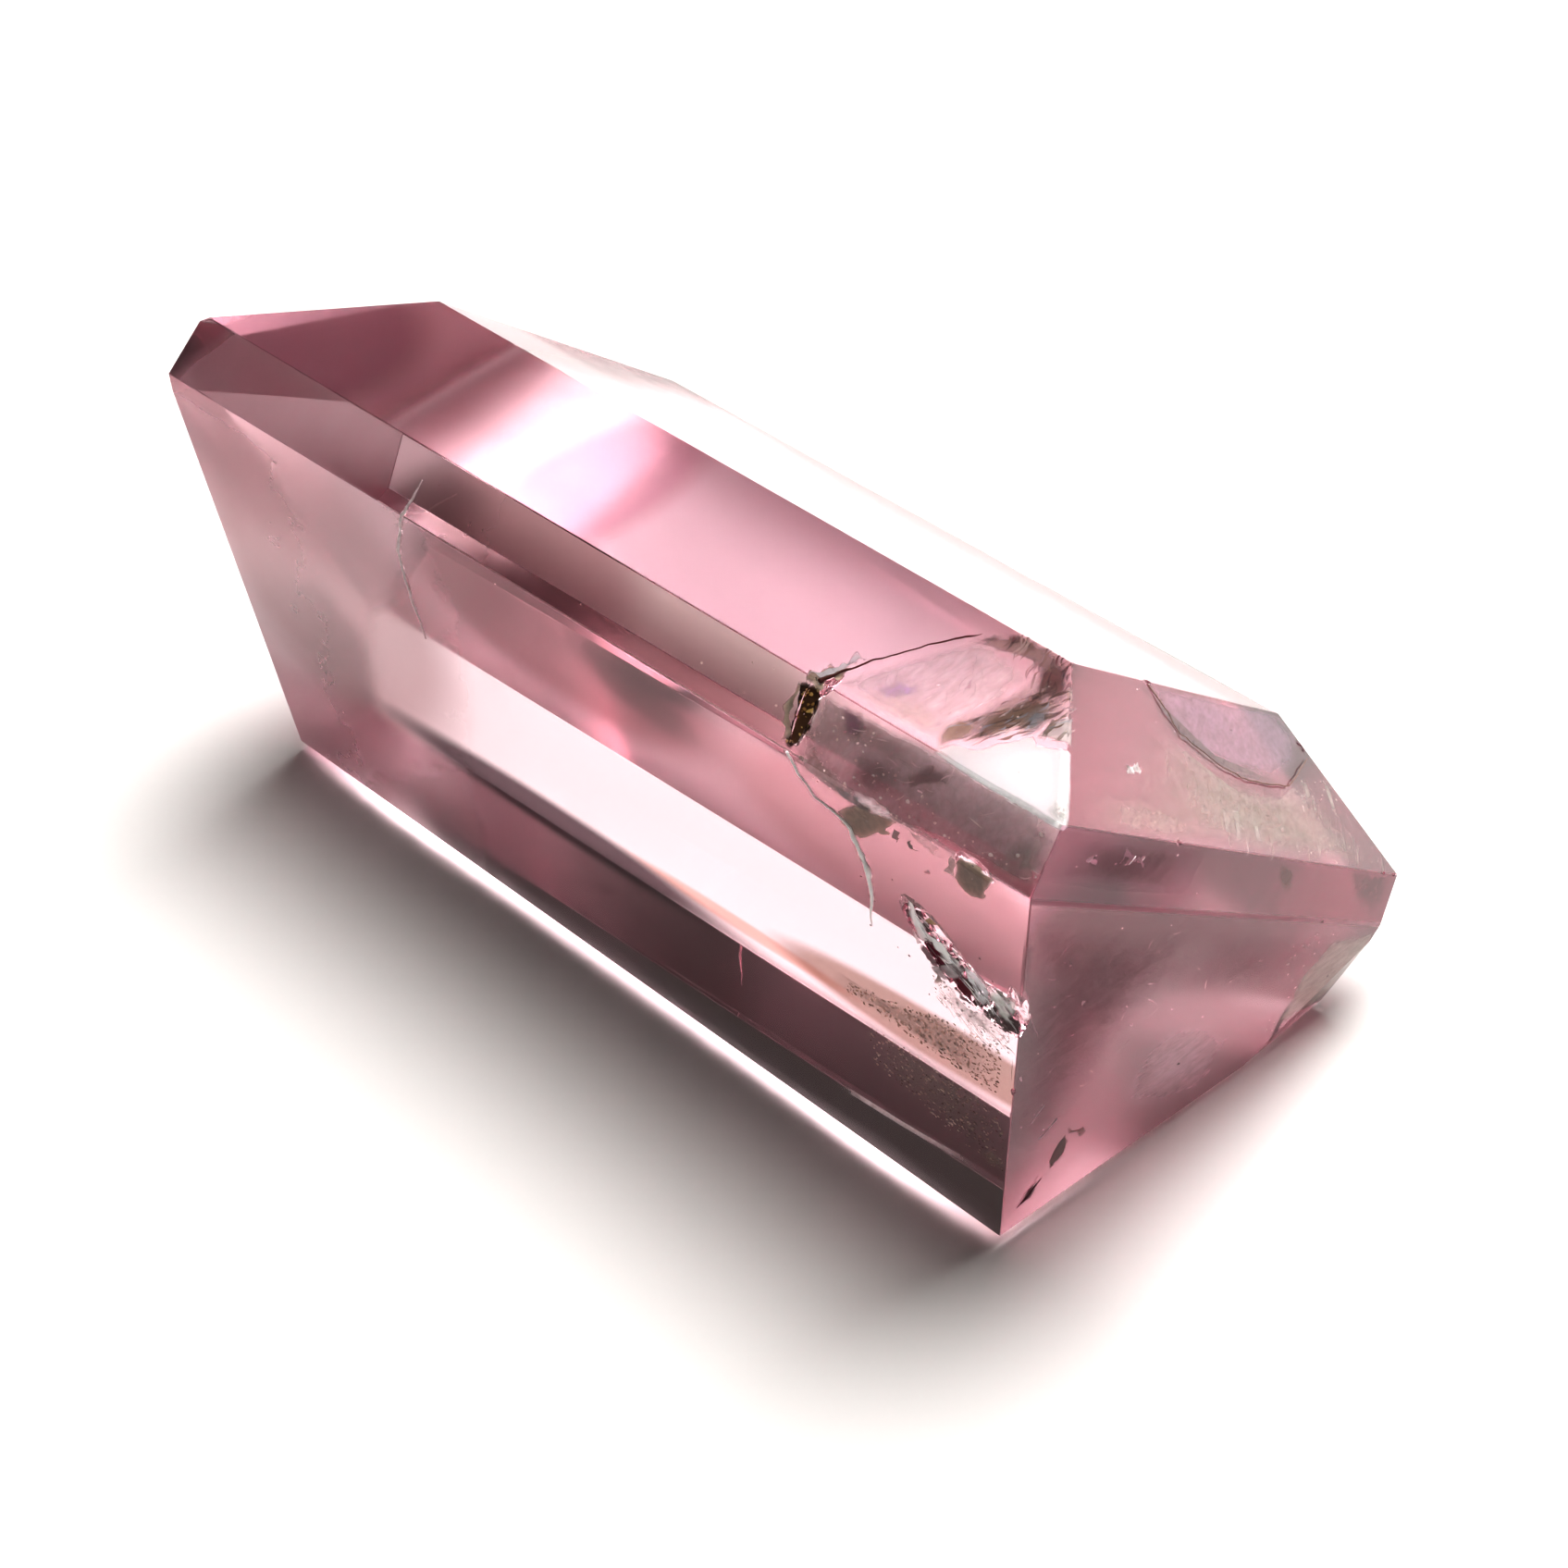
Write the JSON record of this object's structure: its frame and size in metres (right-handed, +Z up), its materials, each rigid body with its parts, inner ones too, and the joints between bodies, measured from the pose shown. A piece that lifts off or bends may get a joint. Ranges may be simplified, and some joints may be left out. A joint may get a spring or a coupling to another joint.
{
  "type": "step-cut tourmaline gem",
  "caption": "Long step-cut pink tourmaline with table, crown, girdle and steep pavilion, chipped and cracked at one end, lying on one pavilion side.",
  "frame": {"origin": "middle of the underside: centre of the bounding box in X and Y, at the surface that the stone lies on", "axes": "+X along the stone towards the chipped end, +Y across it towards the thin lower edge of the girdle, +Z up, square to the pavilion side that it lies on"},
  "size_m": [0.0182, 0.0102, 0.0089],
  "materials": {
    "pink_tourmaline": "clear pale pink tourmaline, polished facets, refractive index about 1.63, coloured by absorption inside the stone; matt and shelly only in the broken places"
  },
  "bodies": {
    "root": {"tourmaline": "pink_tourmaline"}
  },
  "joints": []
}
